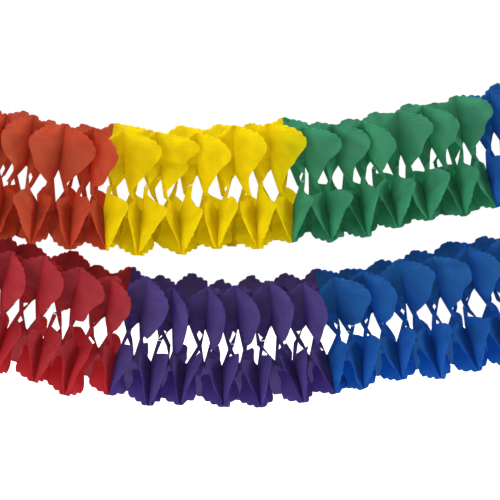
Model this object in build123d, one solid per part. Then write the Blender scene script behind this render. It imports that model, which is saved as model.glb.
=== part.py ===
from build123d import *
import math
import os

# Driving dimensions, all in millimetres, degrees and plain counts.

# One leaf of tissue: a four-petalled cut from a square, petals to the corners.
leaf_side = 136.0
paper = 0.3
hole_reach = 30.0
shoulder_reach = 82.0
shoulder_width = 47.0
waist_reach = 58.0
waist_width = 39.0
neck_reach = 40.0
neck_width = 6.0

# How far each half petal folds out of the flat leaf about its crease.
fold_of_upper_petals = 64.0
fold_of_lower_petals = 32.0
fold_of_under_halves = 65.0
fold_of_tucked_halves = 82.0
tucked_shoulder_share = 0.56
tucked_waist_share = 0.40
tucked_share_at_turnover = 0.40
end_clearance = 0.9
turn_fold_share = 0.62
glue_line = 0.02
sag_of_necks = 5.0

# The hanging line, seen from the front, from the upper end to the lower end.
upper_end_slope = 16.5
upper_end_handle = 260.0
turn_offset_x = -700.0
turn_offset_z = -31.9
turn_slope = 20.0
turn_handle = 171.0
turn_radius = 70.5
turn_squeeze = 0.28
turn_fade = 100.0
lower_end_drop = 182.8
lower_end_slope = 12.5
lower_handle = 360.0

# Colour sections in order along the line: leaves in each, and how far they are drawn open.
section_leaves = {
    "blue_section_upper": 4,
    "green_section": 12,
    "yellow_section": 10,
    "orange_section": 17,
    "red_section": 16,
    "purple_section": 12,
    "blue_section_lower": 13,
}
section_opening = {
    "blue_section_upper": 19.7,
    "green_section": 18.9,
    "yellow_section": 21.9,
    "orange_section": 18.8,
    "red_section": 21.5,
    "purple_section": 20.1,
    "blue_section_lower": 20.5,
}
# The joint at which the petals change the side they overlap to.
turnover_joint = 29

# The stiff card glued on each end, with a punched hole to hang it by.
card_share_of_leaf = 0.85
card_thickness = 1.0
card_hole_radius = 3.0

# Values that follow from those above.
tip_reach = leaf_side / math.sqrt(2)
crease_mitre = 1.5 * paper
edge_points = {
    "shoulder": (shoulder_reach, shoulder_width),
    "waist": (waist_reach, waist_width),
}
front = Vector(0, -1, 0)
up = Vector(0, 0, 1)


def direction(degrees):
    return Vector(math.cos(math.radians(degrees)), 0, math.sin(math.radians(degrees)))


# The line: a long upper swag, a tight turn and a long lower swag.
upper_end = Vector(0, 0, 0)
turn_start = Vector(turn_offset_x, 0, turn_offset_z)
turn_centre = turn_start + direction(270 - turn_slope) * turn_radius
turn_end = turn_centre * 2 - turn_start
turn_middle = turn_centre + direction(180 - turn_slope) * turn_radius
lower_end = Vector(0, 0, -lower_end_drop)
upper_swag = Bezier(
    upper_end,
    upper_end + direction(180 + upper_end_slope) * upper_end_handle,
    turn_start - direction(180 - turn_slope) * turn_handle,
    turn_start,
)
turn = ThreePointArc(turn_start, turn_middle, turn_end)
lower_swag = Bezier(
    turn_end,
    turn_end + direction(-turn_slope) * lower_handle,
    lower_end - direction(lower_end_slope) * lower_handle,
    lower_end,
)
upper_length = upper_swag.length
turn_length = turn.length
line_length = upper_length + turn_length + lower_swag.length


def frame_at(s):
    """Centre, tangent and outward normal of the line at a length from its upper end."""
    if s < upper_length:
        edge, along = upper_swag, s
    elif s < upper_length + turn_length:
        edge, along = turn, s - upper_length
    else:
        edge, along = lower_swag, s - upper_length - turn_length
    centre = edge.position_at(along, position_mode=PositionMode.LENGTH)
    tangent = edge.tangent_at(along, position_mode=PositionMode.LENGTH)
    return centre, tangent, Vector(tangent.Z, 0, -tangent.X)


def share_of_turn(s):
    """One in the tight turn, fading to nothing a little way along each swag."""
    outside = max(upper_length - s, s - upper_length - turn_length, 0)
    return max(0, 1 - outside / turn_fade)


def squeezed(s, height):
    """Height from the line, with the inside of the tight turn pressed together."""
    return height * (1 - turn_squeeze * share_of_turn(s)) if height < 0 else height


def on_line(s, height, depth):
    """A point of the garland from its place along, above and in front of the line."""
    centre, tangent, normal = frame_at(s)
    return centre + normal * squeezed(s, height) + front * depth


# Joint planes: each leaf lies between two of them.
leaf_sections = [name for name, count in section_leaves.items() for _ in range(count)]
total_opening = sum(section_opening[name] for name in leaf_sections)
joints = [0.0]
for name in leaf_sections:
    joints.append(joints[-1] + section_opening[name] * line_length / total_opening)


def petal_angle(petal):
    return math.radians(45 + 90 * petal)


def fold_over(rising, facing):
    """Fold of a half that lies over its neighbour, from how far its petal and the half look up."""
    mean = (fold_of_upper_petals + fold_of_lower_petals) / 2
    swing = (fold_of_upper_petals - fold_of_lower_petals) / 2
    under = max(0, -rising) * max(0, -facing)
    return math.radians(mean + swing * rising + (fold_of_under_halves - fold_of_lower_petals) * under)


def petal_point(plane, toward, angle, sag, reach, along, across):
    """A point of a petal: along, height and depth, from its place out from the crease plane."""
    drop = sag * max(0, 1 - reach / tip_reach)
    height = reach * math.cos(angle) - across * math.sin(angle) - drop
    depth = reach * math.sin(angle) + across * math.cos(angle)
    return plane + toward * (along + glue_line + crease_mitre / 2), height, depth


def leaf_points(index):
    """Middle-surface points of one leaf, keyed by petal, side and name: along, height, depth."""
    start, end = joints[index], joints[index + 1]
    upright = frame_at((start + end) / 2)[2].Z
    sag = sag_of_necks * upright
    shares = {"shoulder": tucked_shoulder_share, "waist": tucked_waist_share}
    if index in (turnover_joint - 1, turnover_joint):
        shares = {"shoulder": tucked_share_at_turnover, "waist": tucked_share_at_turnover}
    points = {}
    for petal in range(4):
        at_start = (petal % 2 == 0) == (index % 2 == 1)
        plane, toward = (start, 1) if at_start else (end, -1)
        room = end_clearance * (line_length - plane if at_start else plane)
        over = at_start == (index >= turnover_joint)
        angle = petal_angle(petal)
        eased = 1 - (1 - turn_fold_share) * share_of_turn(plane)
        points[petal, 0, "root"] = petal_point(plane, toward, angle, sag, hole_reach, 0, 0)
        points[petal, 0, "tip"] = petal_point(plane, toward, angle, sag, tip_reach, 0, 0)
        for side in (-1, 1):
            rising = math.sqrt(2) * math.cos(angle) * upright
            facing = -side * math.sqrt(2) * math.sin(angle) * upright
            for name, (reach, width) in edge_points.items():
                if over:
                    along = min(width * math.sin(fold_over(rising, facing)) * eased, room)
                    across = math.sqrt(width**2 - along**2)
                else:
                    along = shares[name] * 2 * (end - start) * eased
                    across = along / math.tan(math.radians(fold_of_tucked_halves))
                points[petal, side, name] = petal_point(plane, toward, angle, sag, reach, along, side * across)
        middle = angle + math.radians(45)
        for name, reach in (("outer", neck_reach), ("inner", neck_reach - neck_width)):
            height = reach * math.cos(middle) - sag * (1 - reach / tip_reach)
            points[petal, 1, name] = ((start + end) / 2, height, reach * math.sin(middle))
    return points


def half_petal(petal, side):
    """Outline of a half petal as point keys, from the root along the crease and round."""
    neck = petal if side == 1 else (petal - 1) % 4
    return [
        (petal, 0, "root"),
        (petal, 0, "tip"),
        (petal, side, "shoulder"),
        (petal, side, "waist"),
        (neck, 1, "outer"),
        (neck, 1, "inner"),
    ]


def leaf(index):
    """One folded leaf of paper as a closed solid."""
    points = leaf_points(index)
    middle = {key: on_line(*value) for key, value in points.items()}
    triangles = []
    rims = []
    for petal in range(4):
        for side in (-1, 1):
            keys = half_petal(petal, side)
            fan = [(keys[0], keys[i], keys[i + 1]) for i in range(1, 5)]
            edges = [(keys[1], keys[2]), (keys[2], keys[3]), (keys[3], keys[4]), (keys[5], keys[0])]
            if side == -1:
                fan = [(a, c, b) for a, b, c in fan]
                edges = [(b, a) for a, b in edges]
            triangles += fan
            rims += edges
    facing = {key: Vector(0, 0, 0) for key in middle}
    for a, b, c in triangles:
        face_normal = (middle[b] - middle[a]).cross(middle[c] - middle[a])
        for key in (a, b, c):
            facing[key] += face_normal
    near, far = {}, {}
    for key, point in middle.items():
        step = facing[key].normalized() * (paper / 2)
        near[key], far[key] = point + step, point - step
        if key[2] in ("root", "tip"):
            s, height, depth = points[key]
            half = math.copysign(crease_mitre / 2, frame_at(s)[1].dot(facing[key]))
            near[key], far[key] = on_line(s + half, height, depth), on_line(s - half, height, depth)
    corners = [(near[a], near[b], near[c]) for a, b, c in triangles]
    corners += [(far[a], far[c], far[b]) for a, b, c in triangles]
    for a, b in rims:
        corners += [(near[b], near[a], far[a]), (near[b], far[a], far[b])]
    faces = [Face(Wire.make_polygon(three)) for three in corners]
    return Solid(Shell(faces))


def end_card(s, outward):
    """A stiff card in the flat outline of a leaf, with the hole to hang it by."""
    centre, tangent, normal = frame_at(s)
    plane = Plane(origin=centre, x_dir=normal, z_dir=tangent * outward)
    outline = []
    for petal in range(4):
        angle = petal_angle(petal)
        across = [(waist_reach, -waist_width), (shoulder_reach, -shoulder_width), (tip_reach, 0)]
        across += [(shoulder_reach, shoulder_width), (waist_reach, waist_width)]
        for reach, width in across:
            radius = card_share_of_leaf * math.hypot(reach, width)
            turned = math.atan2(width, reach) + angle
            outline.append((radius * math.cos(turned), radius * math.sin(turned)))
        middle = angle + math.radians(45)
        outline.append((neck_reach * math.cos(middle), neck_reach * math.sin(middle)))
    sketch = make_face(Polyline(*outline, close=True)) - Circle(card_hole_radius)
    return plane * extrude(sketch, card_thickness)


os.makedirs("parts", exist_ok=True)
index = 0
for name, count in section_leaves.items():
    leaves = [leaf(i) for i in range(index, index + count)]
    export_step(Compound(children=leaves), f"parts/{name}.step")
    index += count
export_step(end_card(0, -1), "parts/upper_end_card.step")
export_step(end_card(line_length, 1), "parts/lower_end_card.step")
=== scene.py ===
import math

import bpy
import numpy as np
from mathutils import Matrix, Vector


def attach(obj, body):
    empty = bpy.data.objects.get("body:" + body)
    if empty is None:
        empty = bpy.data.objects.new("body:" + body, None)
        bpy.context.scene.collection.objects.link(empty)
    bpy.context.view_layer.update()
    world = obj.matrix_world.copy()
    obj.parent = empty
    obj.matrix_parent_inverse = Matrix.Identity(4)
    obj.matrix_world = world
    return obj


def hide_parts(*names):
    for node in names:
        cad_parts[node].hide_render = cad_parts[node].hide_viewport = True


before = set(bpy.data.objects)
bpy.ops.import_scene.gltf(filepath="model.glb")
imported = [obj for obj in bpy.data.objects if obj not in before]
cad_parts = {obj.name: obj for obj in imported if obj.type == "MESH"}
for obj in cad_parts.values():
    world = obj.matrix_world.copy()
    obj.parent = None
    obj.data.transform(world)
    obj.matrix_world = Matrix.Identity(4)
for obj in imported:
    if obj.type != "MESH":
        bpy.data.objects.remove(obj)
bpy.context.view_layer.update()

bl_info = {
    "name": "Paper garland",
    "version": (1, 0, 0),
    "blender": (4, 5, 0),
    "location": "View3D > Sidebar > Garland",
    "description": "Builds a tissue-paper garland of folded four-petalled leaves in two swags",
    "category": "Object",
}

# The scene is in metres, and the sizes of the line and the leaves are in millimetres.
TO_METRES = 0.001
TO_MILLIMETRES = 1000

# The hanging line, from the upper end through the tight turn to the lower end.
UPPER_END_SLOPE = 16.5
UPPER_HANDLE = 260.0
TURN_HANDLE = 171.0
TURN_START = (-700.0, -31.9)
TURN_SLOPE = 20.0
TURN_RADIUS = 70.5
TURN_SQUEEZE = 0.28
TURN_FADE = 100.0
TURN_FOLD_SHARE = 0.62
LOWER_END_DROP = 182.8
LOWER_END_SLOPE = 12.5
LOWER_HANDLE = 360.0
SWAG_POINTS = 3000
TURN_POINTS = 1500

# Colour sections along the line: piece, slot, leaves, opening of each leaf, spread and size
# of its petals beside the plain leaf.
SECTIONS = (
    ("blue_section_upper", "blue_tissue", 4, 19.7, 1.15, 1.00),
    ("green_section", "green_tissue", 12, 18.9, 1.18, 1.00),
    ("yellow_section", "yellow_tissue", 10, 21.9, 1.22, 1.05),
    ("orange_section", "orange_tissue", 17, 18.8, 1.10, 1.09),
    ("red_section", "red_tissue", 16, 21.5, 0.95, 1.08),
    ("purple_section", "purple_tissue", 12, 20.1, 0.74, 1.07),
    ("blue_section_lower", "blue_tissue", 13, 20.5, 1.00, 1.03),
)
# The joint at which the petals change the side they overlap to.
TURNOVER_JOINT = 29

# Tissue colours as linear light: the paper lit from the front, and glowing from behind.
TISSUE = {
    "blue_tissue": ((0.027, 0.172, 0.455), (0.032, 0.195, 0.520)),
    "green_tissue": ((0.092, 0.400, 0.238), (0.092, 0.400, 0.226)),
    "yellow_tissue": ((0.800, 0.705, 0.003), (0.815, 0.695, 0.003)),
    "orange_tissue": ((0.580, 0.130, 0.060), (0.635, 0.124, 0.054)),
    "red_tissue": ((0.530, 0.066, 0.086), (0.555, 0.058, 0.074)),
    "purple_tissue": ((0.138, 0.094, 0.320), (0.138, 0.094, 0.320)),
}


class GarlandSettings(bpy.types.PropertyGroup):
    """Sizes and looks of the garland"""

    paper: bpy.props.FloatProperty(
        name="Paper", description="Thickness the tissue is drawn with",
        default=0.00025, min=0.00005, unit="LENGTH")
    scallop_depth: bpy.props.FloatProperty(
        name="Scallop depth", description="How far the scallops stand out of a petal's outer edge",
        default=0.0026, min=0.0, unit="LENGTH")
    scallop_pitch: bpy.props.FloatProperty(
        name="Scallop pitch", description="Length of one scallop along a petal's outer edge",
        default=0.0085, min=0.002, unit="LENGTH")
    unevenness: bpy.props.FloatProperty(
        name="Unevenness", description="How much the petals differ from each other",
        default=1.0, min=0.0, max=2.0, subtype="FACTOR")
    seed: bpy.props.IntProperty(
        name="Seed", description="Start of the random numbers for the petals", default=7)
    translucency: bpy.props.FloatProperty(
        name="Translucency", description="Share of the light that passes through the tissue",
        default=0.72, min=0.0, max=1.0, subtype="FACTOR")
    card_share: bpy.props.FloatProperty(
        name="Card share", description="Size of an end card beside a leaf",
        default=0.85, min=0.1, max=1.0, subtype="FACTOR")
    card_thickness: bpy.props.FloatProperty(
        name="Card thickness", description="Thickness of an end card",
        default=0.001, min=0.0002, unit="LENGTH")
    card_hole: bpy.props.FloatProperty(
        name="Card hole", description="Radius of the hanging hole in an end card",
        default=0.003, min=0.0005, unit="LENGTH")


# The plain leaf: the square it is cut from, and its petals' tips and roots.
LEAF_SIDE = 136.0
TIP = LEAF_SIDE / math.sqrt(2)
ROOT = 30.0
# Edge of a half petal that lies over its neighbour, at its taper, waist, shoulder and rim:
# reach out along the crease, then how far along the line and how far across from the crease.
OVER_UPPER = np.array([(44, 14, 32), (62, 26, 31.5), (82, 36, 25.5), (94, 26, 15)], float)
OVER_LOWER = np.array([(44, 15, 36), (62, 23, 40.5), (82, 15.5, 35), (94, 7, 18.5)], float)
# Edge of the tucked half of a lower petal in front, which leaves a dark hollow beside it.
KITE = np.array([(44, 13, 29.5), (62, 15, 30), (82, 9, 22), (94, 3.5, 10)], float)
# How much fuller the lower petals at the back are, which close the hollows from behind.
BACK_FULLNESS = np.array([-0.2, 0.0, 0.5, 0.9])
# Edges held close to the crease's own plane: their form from taper to rim, the reach of the rim,
# and how far across they lie.
CLOSE_SHARE = np.array([0.72, 0.9, 1.0, 0.50])
CLOSE_RIM = 90.5
CLOSE_ACROSS = 0.5
# How far such an edge goes along the line, as a share of the petals' spacing: a tucked half, one
# at the turnover, and the over and tucked halves that look straight up or straight down.
TUCKED_SHARE = 0.57
TURNOVER_SHARE = 0.47
TOP_SHARES = (0.52, 0.40)
UNDER_SHARES = (0.38, 0.56)
# How a tucked half leans out of the crease's plane.
TUCKED_LEAN = 0.15
TUCKED_OFFSET = 0.3
# How much further across a half reaches where its section spreads less along the line.
SPREAD_TO_ACROSS = 1.3
# Share of the line left beyond a crease that a half may use.
ROOM_SHARE = 0.9
# The neck strips between petals: how far out they lie, how wide they are and how far they hang.
NECK = 40.0
NECK_WIDTH = 5.0
NECK_SAG = 5.0
# The faint creases that handling leaves in the tissue: depth, number on a half, how close
# together, how much closer along the crease, and how deep they are along the line, on a tucked
# half and towards the edge.
CRUMPLE = 2.5
CRUMPLES = 3
CRUMPLE_PACE = (1.6, 3.2)
CRUMPLE_STRETCH = 1.4
CRUMPLE_ALONG = 0.5
CRUMPLE_TUCKED = 0.35
CRUMPLE_FADE = 0.4
# The soft waves of a half: height along and across, pace over the rows and fading at the rim.
WAVE_ALONG = 1.6
WAVE_OVER = 1.8
WAVE_TUCKED = 0.5
WAVE_PACE = (5.2, 4.4)
WAVE_FADE = 0.6
# How much petals differ from each other: turn and its limit in degrees, reach, lean along the
# line, the neck's place along, up and out, and spread.
TURN_SPREAD = 2.8
TURN_LIMIT = 3.2
REACH_SPREAD = 0.024
LEAN_SPREAD = 3.0
NECK_SPREAD = (3.4, 4.0, 2.0)
WIDTH_SPREAD = 0.10
# How the neck strips turn to the front, and slip away from the petal that lies over.
NECK_TWIST = 2.6
NECK_SLIP = 5.0
# Where a petal leaves the neck strip, as a share of the way from the crease, which is nearer to
# the crease in sections that spread less, so that more of the strip hangs free. Then how far out.
STEM_MOST = 0.9
STEM_GROWTH = 0.75
STEM_SPREAD = 1.2
STEM_RISE = 5.0
# Half the gap that the glue leaves between two creases.
MITRE = 0.02

# How a half bends between its crease and its edge, along and across, and how soon it does so.
BEND_OVER = (0.32, -0.18)
BEND_TUCKED = (-0.05, 0.2)
BEND_ROWS = 0.3
# Scallops: how much of one lies inside the plain edge, how soon they start along the rim, how
# they move the edge outward and sideways, and the least width of a half that they are set on.
SCALLOP_INSET = 0.6
SCALLOP_START = 6
SCALLOP_OUTWARD = 0.8
SCALLOP_SIDEWAYS = 0.5
SCALLOP_WIDTH = 4

# Flat outline of a petal on an end card: reach and width.
CARD_OUTLINE = ((58, -39), (82, -47), (TIP, 0), (82, 47), (58, 39))
CARD_POINTS = 96
CARD_COLOUR = (0.38, 0.37, 0.345, 1)
CARD_ROUGHNESS = 0.8

# Looks of the tissue: soft mottling, fine fibres and a matte face.
MOTTLE_SCALE = 70.0
MOTTLE_DETAIL = 8.0
MOTTLE_BAND = (0.3, 0.7)
MOTTLE_TONES = (0.80, 1.16)
FIBRE_SCALE = 900.0
FIBRE_DETAIL = 3.0
FIBRE_STRENGTH = 0.4
FIBRE_DEPTH = 0.0006
TISSUE_ROUGHNESS = 0.85
TISSUE_SPECULAR = 0.18
# Edges that bend more than this stay sharp, and shorter normals than this aren't divided by.
SHARP_ANGLE = math.radians(50)
LEAST_NORMAL = 1e-12

# The stage, in metres, watts and degrees: floor, surround, lamps and camera.
FLOOR_COLOUR = (0.93, 0.93, 0.93, 1)
FLOOR_GLOW = 0.45
FLOOR_HALF = 9
FLOOR_LEVEL = -0.95
WHITE = (1, 1, 1, 1)
SURROUND_LIGHT = 1.42
LAMPS = (
    ("key", (2.0, -1.5, 0.9), 62.0, 0.8),
    ("fill", (-1.6, -1.8, 0.5), 24.0, 1.2),
)
LAMP_AIM = (-0.35, 0, -0.13)
CAMERA_TARGET = (-0.348, 0, -0.1387)
CAMERA_TILT = 3.8
CAMERA_LENS = 400
CAMERA_SENSOR = 36
VIEW_WIDTH = 0.59


def bezier(points):
    """Points on a cubic curve."""
    t = np.linspace(0, 1, SWAG_POINTS)[:, None]
    a, b, c, d = (np.array(p, float) for p in points)
    return a * (1 - t) ** 3 + 3 * b * t * (1 - t) ** 2 + 3 * c * t * t * (1 - t) + d * t**3


def petal_angle(petal):
    """Bearing of a petal's crease, from straight out of the line towards the front."""
    return math.radians(45 + 90 * petal)


def heading(degrees):
    """Unit vector in the upright plane, as x and z."""
    return np.array([math.cos(math.radians(degrees)), math.sin(math.radians(degrees))])


class Line:
    """The garland's centre line, by length from its upper end."""

    def __init__(self):
        start = np.array(TURN_START)
        centre = start + heading(270 - TURN_SLOPE) * TURN_RADIUS
        finish = 2 * centre - start
        end = np.array([0.0, -LOWER_END_DROP])
        upper = bezier((
            (0, 0),
            heading(180 + UPPER_END_SLOPE) * UPPER_HANDLE,
            start - heading(180 - TURN_SLOPE) * TURN_HANDLE,
            start,
        ))
        swing = np.radians(np.linspace(90 - TURN_SLOPE, 270 - TURN_SLOPE, TURN_POINTS))
        turn = centre + TURN_RADIUS * np.stack([np.cos(swing), np.sin(swing)], axis=1)
        lower = bezier((
            finish,
            finish + heading(-TURN_SLOPE) * LOWER_HANDLE,
            end - heading(LOWER_END_SLOPE) * LOWER_HANDLE,
            end,
        ))
        line = np.concatenate([upper, turn[1:], lower[1:]])
        steps = np.linalg.norm(np.diff(line, axis=0), axis=1)
        self.at = np.concatenate([[0], np.cumsum(steps)])
        self.line = line
        tangent = np.gradient(line, self.at, axis=0)
        self.tangent = tangent / np.linalg.norm(tangent, axis=1)[:, None]
        self.length = self.at[-1]
        self.turn = (self.at[len(upper) - 1], self.at[len(upper) + len(turn) - 2])
        openings = [row[3] for row in SECTIONS for _ in range(row[2])]
        self.spread = [row[4] for row in SECTIONS for _ in range(row[2])]
        sizes = np.array([row[5] for row in SECTIONS for _ in range(row[2])])
        self.size = (np.append(sizes, sizes[-1]) + np.insert(sizes, 0, sizes[0])) / 2
        self.joints = np.concatenate([[0], np.cumsum(openings)]) * self.length / sum(openings)

    def frame(self, s):
        """Centre, tangent and outward normal in the upright plane, each as x and z."""
        over = s - np.clip(s, 0, self.length)
        centre = np.stack([np.interp(s, self.at, self.line[:, i]) for i in (0, 1)], axis=-1)
        tangent = np.stack([np.interp(s, self.at, self.tangent[:, i]) for i in (0, 1)], axis=-1)
        normal = np.stack([tangent[..., 1], -tangent[..., 0]], axis=-1)
        return centre + tangent * over[..., None], tangent, normal

    def share_of_turn(self, s):
        """One in the tight turn, fading to nothing a little way along each swag."""
        outside = np.maximum(np.maximum(self.turn[0] - s, s - self.turn[1]), 0)
        return np.maximum(0, 1 - outside / TURN_FADE)

    def place(self, s, height, depth):
        """Points in metres from their place along, above and in front of the line."""
        pressed = 1 - TURN_SQUEEZE * self.share_of_turn(s)
        height = np.where(height < 0, height * pressed, height)
        centre, _, normal = self.frame(s)
        flat = centre + normal * height[..., None]
        return np.stack([flat[..., 0], -depth, flat[..., 1]], axis=-1) * TO_METRES


def hermite(knots, values, at):
    """A smooth curve through the values at the knots."""
    knots, values = np.array(knots, float), np.array(values, float)
    slopes = np.gradient(values, knots)
    i = np.clip(np.searchsorted(knots, at, side="right") - 1, 0, len(knots) - 2)
    span = knots[i + 1] - knots[i]
    t = (at - knots[i]) / span
    return (
        (1 + 2 * t) * (1 - t) ** 2 * values[i]
        + t * (1 - t) ** 2 * span * slopes[i]
        + t * t * (3 - 2 * t) * values[i + 1]
        + t * t * (t - 1) * span * slopes[i + 1]
    )


# Rows of a half petal, as shares of its crease: neck strip, side edge, then the scalloped rim.
NECK_ROW = 0.06
STEM_ROW = 0.12
TAPER_ROW = 0.20
WAIST_ROW = 0.42
RIM_ROW = 0.66
OUTER_ROW = 0.84
LAST_ROW = 0.994
SIDE_ROWS = 11
RIM_ROWS = 34
COLUMNS = 7
KNOT_ROWS = (NECK_ROW, STEM_ROW, TAPER_ROW, WAIST_ROW, RIM_ROW, OUTER_ROW, 1.0)


def rows_of_half():
    """Places of the rows, closest together along the scalloped rim."""
    side = np.linspace(NECK_ROW, RIM_ROW, SIDE_ROWS)
    rim = np.linspace(RIM_ROW, LAST_ROW, RIM_ROWS)
    return np.concatenate([[0, NECK_ROW / 2], side, rim[1:]])


def half_petal(rows, knots, over, settings, rng):
    """Reach, along and across of a half petal's grid, from its edge's knots."""
    u = rows[:, None]
    v = np.linspace(0, 1, COLUMNS)[None, :]
    at = np.maximum(rows, NECK_ROW)
    edge = np.stack([hermite(KNOT_ROWS, [k[i] for k in knots[1:]], at) for i in range(3)])
    inner = rows < NECK_ROW
    share = (rows / NECK_ROW)[None, :]
    neck = np.array(knots[0])[:, None] * (1 - share) + np.array(knots[1])[:, None] * share
    edge = np.where(inner[None, :], neck, edge)
    rim = np.clip((rows - RIM_ROW) / (1 - RIM_ROW), 0, 1)
    steps = np.linalg.norm(np.diff(edge, axis=1), axis=0) * (rim[1:] > 0)
    run = np.concatenate([[0], np.cumsum(steps)])
    count = max(2, round(run[-1] / (settings.scallop_pitch * TO_MILLIMETRES)))
    scallop = np.abs(np.sin(np.pi * count * run / run[-1])) - SCALLOP_INSET
    bump = settings.scallop_depth * TO_MILLIMETRES * scallop
    bump = np.where(rim > 0, bump * np.minimum(1, SCALLOP_START * rim), 0)
    width = np.maximum(np.hypot(edge[1], edge[2]), SCALLOP_WIDTH)
    wider = 1 + SCALLOP_SIDEWAYS * bump / width
    edge = np.stack([edge[0] + SCALLOP_OUTWARD * bump, edge[1] * wider, edge[2] * wider])
    grown = np.clip((u - NECK_ROW) / BEND_ROWS, 0, 1)
    grown = grown * grown * (3 - 2 * grown)
    along_power, across_power = (1 + bend * grown for bend in (BEND_OVER if over else BEND_TUCKED))
    crease = ROOT + (TIP - ROOT) * u
    reach = crease + (edge[0][:, None] - crease) * v
    along = edge[1][:, None] * v**along_power
    across = edge[2][:, None] * v**across_power
    wave = settings.unevenness * grown * v * v * (1 - WAVE_FADE * rim[:, None])
    phase = rng.uniform(0, 2 * np.pi, 2)
    along = along + wave * WAVE_ALONG * np.sin(WAVE_PACE[0] * u + phase[0])
    across = across + wave * (WAVE_OVER if over else WAVE_TUCKED) * np.sin(WAVE_PACE[1] * u + phase[1])
    amount = settings.unevenness * grown * v
    depth = 1 if over else CRUMPLE_TUCKED
    for _ in range(CRUMPLES):
        bearing = rng.uniform(0, np.pi)
        pace = rng.uniform(*CRUMPLE_PACE)
        ramp = pace * (np.cos(bearing) * CRUMPLE_STRETCH * u + np.sin(bearing) * v) + rng.uniform(0, 1)
        ridge = 2 * np.abs(ramp - np.floor(ramp + 0.5)) - 0.5
        across = across + amount * (1 - v * CRUMPLE_FADE) * CRUMPLE * ridge * depth
        along = along + amount * CRUMPLE_ALONG * CRUMPLE * ridge
    return reach, along, across


class Unevenness:
    """Small differences between petals, shared by the two leaves glued along a crease."""

    def __init__(self, joints, amount, rng):
        self.rng = rng
        turn = np.clip(rng.normal(0, TURN_SPREAD, (joints, 4)), -TURN_LIMIT, TURN_LIMIT)
        self.turn = np.radians(turn) * amount
        self.reach = 1 + rng.normal(0, REACH_SPREAD, (joints, 4)) * amount
        self.lean = rng.normal(0, LEAN_SPREAD, (joints, 4)) * amount
        self.neck = rng.normal(0, 1, (joints, 4, 3)) * np.array(NECK_SPREAD) * amount


def leaf_halves(line, index, settings, uneven):
    """Grids of the eight half petals of one leaf, in metres."""
    start, end = line.joints[index], line.joints[index + 1]
    middle = (start + end) / 2
    rising = float(line.frame(np.array(middle))[2][1])
    period = 2 * (end - start)
    rows = rows_of_half()
    rng = uneven.rng
    even_over = (index % 2 == 1) == (index >= TURNOVER_JOINT)
    inside = 1.0 if 0 < index < len(line.joints) - 2 else 0.0
    for petal in range(4):
        at_start = (petal % 2 == 0) == (index % 2 == 1)
        joint = index if at_start else index + 1
        plane, toward = (start, 1) if at_start else (end, -1)
        over = at_start == (index >= TURNOVER_JOINT)
        angle = petal_angle(petal) + inside * uneven.turn[joint, petal]
        outward = (math.cos(angle), math.sin(angle))
        up = outward[0] * rising * math.sqrt(2)
        turning = float(line.share_of_turn(np.array(plane)))
        eased = 1 - (1 - TURN_FOLD_SHARE) * turning
        room = plane if toward == -1 else line.length - plane
        for side in (-1, 1):
            looks = -side * outward[1] * rising * math.sqrt(2)
            edge = OVER_LOWER + (OVER_UPPER - OVER_LOWER) * (1 + up) / 2
            spread = line.spread[index] * (1 + settings.unevenness * rng.normal(0, WIDTH_SPREAD))
            close = max(0.0, up * looks)
            shares = TOP_SHARES if up > 0 else UNDER_SHARES
            if over:
                fuller = 1 + BACK_FULLNESS * max(0.0, -up) * (outward[1] < 0)
                widths = edge[:, 1] * spread ** np.array([1 + up, 1, 1, 1])
                along = np.minimum(widths * fuller * eased, ROOM_SHARE * room)
                across = edge[:, 2] * (1 + (1 - spread) * (1 + up) / 2 * SPREAD_TO_ACROSS)
                along = along + (shares[0] * period * CLOSE_SHARE - along) * close
                across = across + (CLOSE_ACROSS - across) * close
            else:
                share = TUCKED_SHARE + (shares[1] - TUCKED_SHARE) * close
                if index in (TURNOVER_JOINT - 1, TURNOVER_JOINT):
                    share = TURNOVER_SHARE
                along = share * period * eased * CLOSE_SHARE
                across = along * TUCKED_LEAN * (1 - close) + TUCKED_OFFSET
                kite = max(0.0, -up) * (1 - close) * (outward[1] > 0)
                along = along + (KITE[:, 1] * eased - along) * kite
                across = across + (KITE[:, 2] - across) * kite
            knots = []
            neck = petal if side == 1 else (petal - 1) % 4
            shift = uneven.neck[index, neck] * (1 - turning) * inside
            bearing = math.radians(90 + 90 * neck)
            twist = NECK_TWIST * (1 if index >= TURNOVER_JOINT else -1) * (1 - turning) * inside
            slip = NECK_SLIP * math.sin(bearing) * (-1 if even_over else 1) * (1 - turning) * inside
            for reach, edgewise in ((NECK - NECK_WIDTH, -twist), (NECK, twist)):
                height = reach * math.cos(bearing) + shift[1] + slip
                depth = reach * math.sin(bearing) + shift[2]
                knots.append((
                    height * outward[0] + depth * outward[1],
                    (middle + shift[0] + edgewise - plane) * toward,
                    side * (depth * outward[0] - height * outward[1]),
                ))
            neck_end = knots[1]
            stem_reach = (ROOT + neck_end[0]) / 2 + STEM_RISE
            stem_share = STEM_MOST - STEM_GROWTH * max(0.0, STEM_SPREAD - line.spread[index])
            knots.append((stem_reach, neck_end[1] * stem_share, neck_end[2] * stem_share))
            reaches = edge[:, 0].copy()
            reaches[3] += (CLOSE_RIM - reaches[3]) * (close if over else 1 - kite)
            knots.extend(zip(reaches, along, across))
            knots.append((TIP, 0, 0))
            reach, along, across = half_petal(rows, knots, over, settings, rng)
            drop = NECK_SAG * np.maximum(0, 1 - reach / TIP) * rising
            grown = np.clip((reach - ROOT) / (TIP - ROOT), 0, 1)
            reach = reach * (1 + inside * (uneven.reach[joint, petal] * line.size[joint] - 1) * grown)
            height = reach * outward[0] - side * across * outward[1] - drop
            depth = reach * outward[1] + side * across * outward[0]
            s = plane + toward * (np.maximum(along, 0) + MITRE)
            s = s + inside * uneven.lean[joint, petal] * grown
            yield line.place(s, height, depth)


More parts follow.
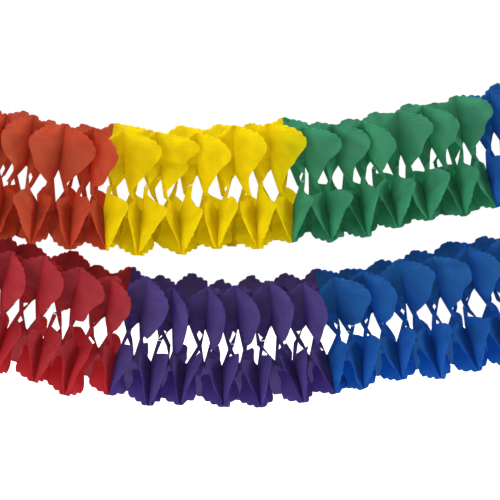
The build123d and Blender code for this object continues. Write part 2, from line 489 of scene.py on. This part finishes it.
def closed_sheet(grid, thickness):
    """Points and faces of a thin closed sheet around a grid of points."""
    n, m = grid.shape[:2]
    du = np.gradient(grid, axis=0)
    dv = np.gradient(grid, axis=1)
    normal = np.cross(du, dv)
    normal /= np.maximum(np.linalg.norm(normal, axis=2), LEAST_NORMAL)[..., None]
    points = np.concatenate([
        (grid + normal * thickness / 2).reshape(-1, 3),
        (grid - normal * thickness / 2).reshape(-1, 3),
    ])
    i = np.arange(n * m).reshape(n, m)
    top = np.stack([i[:-1, :-1], i[1:, :-1], i[1:, 1:], i[:-1, 1:]], axis=-1).reshape(-1, 4)
    under = top[:, ::-1] + n * m
    ring = np.concatenate([i[:, 0], i[-1, 1:], i[-2::-1, -1], i[0, -2:0:-1]])
    after = np.roll(ring, -1)
    walls = np.stack([after, ring, ring + n * m, after + n * m], axis=-1)
    return points, np.concatenate([top, under, walls])


def mesh_object(name, points, faces, material, smooth=True):
    """A new object in the scene from points and faces."""
    mesh = bpy.data.meshes.new(name)
    mesh.from_pydata(points.tolist(), [], faces.tolist())
    mesh.materials.append(material)
    if smooth:
        mesh.shade_smooth()
        mesh.set_sharp_from_angle(angle=SHARP_ANGLE)
    mesh.update()
    piece = bpy.data.objects.new(name, mesh)
    bpy.context.scene.collection.objects.link(piece)
    return piece


def new_material(name):
    """An empty material with its nodes, links and output."""
    material = bpy.data.materials.new(name)
    material.use_nodes = True
    nodes = material.node_tree.nodes
    nodes.clear()
    output = nodes.new("ShaderNodeOutputMaterial")
    return material, nodes, material.node_tree.links, output


def tissue_material(name, lit, glow, translucency):
    """Thin matte tissue: a soft mottled colour, fine fibres, and light through it."""
    material, nodes, links, output = new_material(name)
    place = nodes.new("ShaderNodeTexCoord")
    mottle = nodes.new("ShaderNodeTexNoise")
    mottle.inputs["Scale"].default_value = MOTTLE_SCALE
    mottle.inputs["Detail"].default_value = MOTTLE_DETAIL
    links.new(place.outputs["Object"], mottle.inputs["Vector"])
    ramp = nodes.new("ShaderNodeValToRGB")
    for element, position, tone in zip(ramp.color_ramp.elements, MOTTLE_BAND, MOTTLE_TONES):
        element.position = position
        element.color = (*[min(1, c * tone) for c in lit], 1)
    links.new(mottle.outputs["Fac"], ramp.inputs["Fac"])
    fibre = nodes.new("ShaderNodeTexNoise")
    fibre.inputs["Scale"].default_value = FIBRE_SCALE
    fibre.inputs["Detail"].default_value = FIBRE_DETAIL
    links.new(place.outputs["Object"], fibre.inputs["Vector"])
    bump = nodes.new("ShaderNodeBump")
    bump.inputs["Strength"].default_value = FIBRE_STRENGTH
    bump.inputs["Distance"].default_value = FIBRE_DEPTH
    links.new(fibre.outputs["Fac"], bump.inputs["Height"])
    paper = nodes.new("ShaderNodeBsdfPrincipled")
    paper.inputs["Roughness"].default_value = TISSUE_ROUGHNESS
    paper.inputs["Specular IOR Level"].default_value = TISSUE_SPECULAR
    links.new(ramp.outputs["Color"], paper.inputs["Base Color"])
    links.new(bump.outputs["Normal"], paper.inputs["Normal"])
    through = nodes.new("ShaderNodeBsdfTranslucent")
    through.inputs["Color"].default_value = (*glow, 1)
    mix = nodes.new("ShaderNodeMixShader")
    mix.inputs["Fac"].default_value = translucency
    links.new(paper.outputs["BSDF"], mix.inputs[1])
    links.new(through.outputs["BSDF"], mix.inputs[2])
    links.new(mix.outputs["Shader"], output.inputs["Surface"])
    return material


class GARLAND_OT_sections(bpy.types.Operator):
    """Build the colour sections of folded tissue leaves"""

    bl_idname = "garland.sections"
    bl_label = "Tissue sections"

    def execute(self, context):
        settings = context.scene.garland
        line = Line()
        rng = np.random.default_rng(settings.seed)
        uneven = Unevenness(len(line.joints), settings.unevenness, rng)
        materials = {}
        index = 0
        for node, slot, count, *_ in SECTIONS:
            if slot not in materials:
                materials[slot] = tissue_material(slot, *TISSUE[slot], settings.translucency)
            points, faces, used = [], [], 0
            for leaf in range(index, index + count):
                for grid in leaf_halves(line, leaf, settings, uneven):
                    p, f = closed_sheet(grid, settings.paper)
                    points.append(p)
                    faces.append(f + used)
                    used += len(p)
            index += count
            piece = mesh_object(node, np.concatenate(points), np.concatenate(faces), materials[slot])
            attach(piece, "root")
            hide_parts(node)
        return {"FINISHED"}


class GARLAND_OT_cards(bpy.types.Operator):
    """Build the stiff card on each end, with its punched hanging hole"""

    bl_idname = "garland.cards"
    bl_label = "End cards"

    def execute(self, context):
        settings = context.scene.garland
        line = Line()
        material, nodes, links, output = new_material("end_card")
        card = nodes.new("ShaderNodeBsdfPrincipled")
        card.inputs["Base Color"].default_value = CARD_COLOUR
        card.inputs["Roughness"].default_value = CARD_ROUGHNESS
        links.new(card.outputs["BSDF"], output.inputs["Surface"])
        for node, s, toward in (("upper_end_card", 0.0, -1), ("lower_end_card", line.length, 1)):
            outline = []
            for petal in range(4):
                turn = petal_angle(petal)
                for reach, width in CARD_OUTLINE:
                    radius = settings.card_share * math.hypot(reach, width)
                    outline.append((radius, turn + math.atan2(width, reach)))
                outline.append((NECK, turn + math.radians(45)))
            count = CARD_POINTS
            angles = np.linspace(0, 2 * math.pi, count, endpoint=False) + math.radians(45)
            radius, bearing = np.array(outline).T
            order = np.argsort(bearing)
            edge = np.interp(angles, bearing[order], radius[order], period=2 * math.pi)
            rings = []
            for level in (0, settings.card_thickness * TO_MILLIMETRES):
                for reach in (edge, np.full(count, settings.card_hole * TO_MILLIMETRES)):
                    height, depth = reach * np.cos(angles), reach * np.sin(angles)
                    at = np.full(count, s + toward * level)
                    rings.append(line.place(at, height, depth))
            points = np.concatenate(rings)
            i = np.arange(count)
            j = (i + 1) % count
            faces = []
            for a, b in ((0, 1), (1, 3), (3, 2), (2, 0)):
                ring = [a * count + i, a * count + j, b * count + j, b * count + i]
                faces.append(np.stack(ring, axis=-1))
            piece = mesh_object(node, points, np.concatenate(faces), material, smooth=False)
            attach(piece, "root")
            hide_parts(node)
        return {"FINISHED"}


class GARLAND_OT_stage(bpy.types.Operator):
    """Set the floor, the lamps, the white surround and the camera"""

    bl_idname = "garland.stage"
    bl_label = "Stage"

    def execute(self, context):
        scene = context.scene
        material, nodes, links, output = new_material("floor")
        pale = nodes.new("ShaderNodeBsdfDiffuse")
        pale.inputs["Color"].default_value = FLOOR_COLOUR
        glow = nodes.new("ShaderNodeEmission")
        glow.inputs["Color"].default_value = WHITE
        path = nodes.new("ShaderNodeLightPath")
        lift = nodes.new("ShaderNodeMath")
        lift.operation = "MULTIPLY"
        lift.inputs[1].default_value = FLOOR_GLOW
        links.new(path.outputs["Is Camera Ray"], lift.inputs[0])
        links.new(lift.outputs["Value"], glow.inputs["Strength"])
        both = nodes.new("ShaderNodeAddShader")
        links.new(pale.outputs["BSDF"], both.inputs[0])
        links.new(glow.outputs["Emission"], both.inputs[1])
        links.new(both.outputs["Shader"], output.inputs["Surface"])
        square = ((-1, -1), (1, -1), (1, 1), (-1, 1))
        corners = np.array([(x * FLOOR_HALF, y * FLOOR_HALF, FLOOR_LEVEL) for x, y in square], float)
        floor = mesh_object("floor", corners, np.array([[0, 1, 2, 3]]), material, smooth=False)

        world = bpy.data.worlds.new("surround")
        scene.world = world
        world.use_nodes = True
        nodes, links = world.node_tree.nodes, world.node_tree.links
        nodes.clear()
        seen = nodes.new("ShaderNodeBackground")
        seen.inputs["Color"].default_value = WHITE
        seen.inputs["Strength"].default_value = 1.0
        light = nodes.new("ShaderNodeBackground")
        light.inputs["Color"].default_value = WHITE
        light.inputs["Strength"].default_value = SURROUND_LIGHT
        path = nodes.new("ShaderNodeLightPath")
        mix = nodes.new("ShaderNodeMixShader")
        links.new(path.outputs["Is Camera Ray"], mix.inputs["Fac"])
        links.new(light.outputs["Background"], mix.inputs[1])
        links.new(seen.outputs["Background"], mix.inputs[2])
        output = nodes.new("ShaderNodeOutputWorld")
        links.new(mix.outputs["Shader"], output.inputs["Surface"])

        for name, spot, energy, size in LAMPS:
            lamp = bpy.data.lights.new(name, "AREA")
            lamp.energy = energy
            lamp.size = size
            holder = bpy.data.objects.new(name, lamp)
            scene.collection.objects.link(holder)
            holder.location = spot
            aim = Vector(LAMP_AIM) - Vector(spot)
            holder.rotation_euler = aim.to_track_quat("-Z", "Y").to_euler()

        target = Vector(CAMERA_TARGET)
        tilt = math.radians(CAMERA_TILT)
        distance = VIEW_WIDTH * CAMERA_LENS / CAMERA_SENSOR
        lens = bpy.data.cameras.new("camera")
        lens.lens = CAMERA_LENS
        lens.sensor_width = CAMERA_SENSOR
        camera = bpy.data.objects.new("camera", lens)
        scene.collection.objects.link(camera)
        camera.location = target + Vector((0, -math.cos(tilt), math.sin(tilt))) * distance
        camera.rotation_euler = (math.radians(90) - tilt, 0, 0)
        scene.camera = camera
        scene.view_settings.view_transform = "Standard"
        return {"FINISHED"}


class GARLAND_PT_panel(bpy.types.Panel):
    """Sidebar panel of the garland"""

    bl_idname = "GARLAND_PT_panel"
    bl_label = "Paper garland"
    bl_space_type = "VIEW_3D"
    bl_region_type = "UI"
    bl_category = "Garland"

    def draw(self, context):
        settings = context.scene.garland
        for name in GarlandSettings.__annotations__:
            self.layout.prop(settings, name)
        self.layout.operator("garland.sections")
        self.layout.operator("garland.cards")
        self.layout.operator("garland.stage")


CLASSES = (GarlandSettings, GARLAND_OT_sections, GARLAND_OT_cards, GARLAND_OT_stage, GARLAND_PT_panel)


def register():
    for cls in CLASSES:
        bpy.utils.register_class(cls)
    bpy.types.Scene.garland = bpy.props.PointerProperty(type=GarlandSettings)


def unregister():
    del bpy.types.Scene.garland
    for cls in reversed(CLASSES):
        bpy.utils.unregister_class(cls)


def main():
    register()
    bpy.ops.garland.sections()
    bpy.ops.garland.cards()
    bpy.ops.garland.stage()


if __name__ == "__main__":
    main()
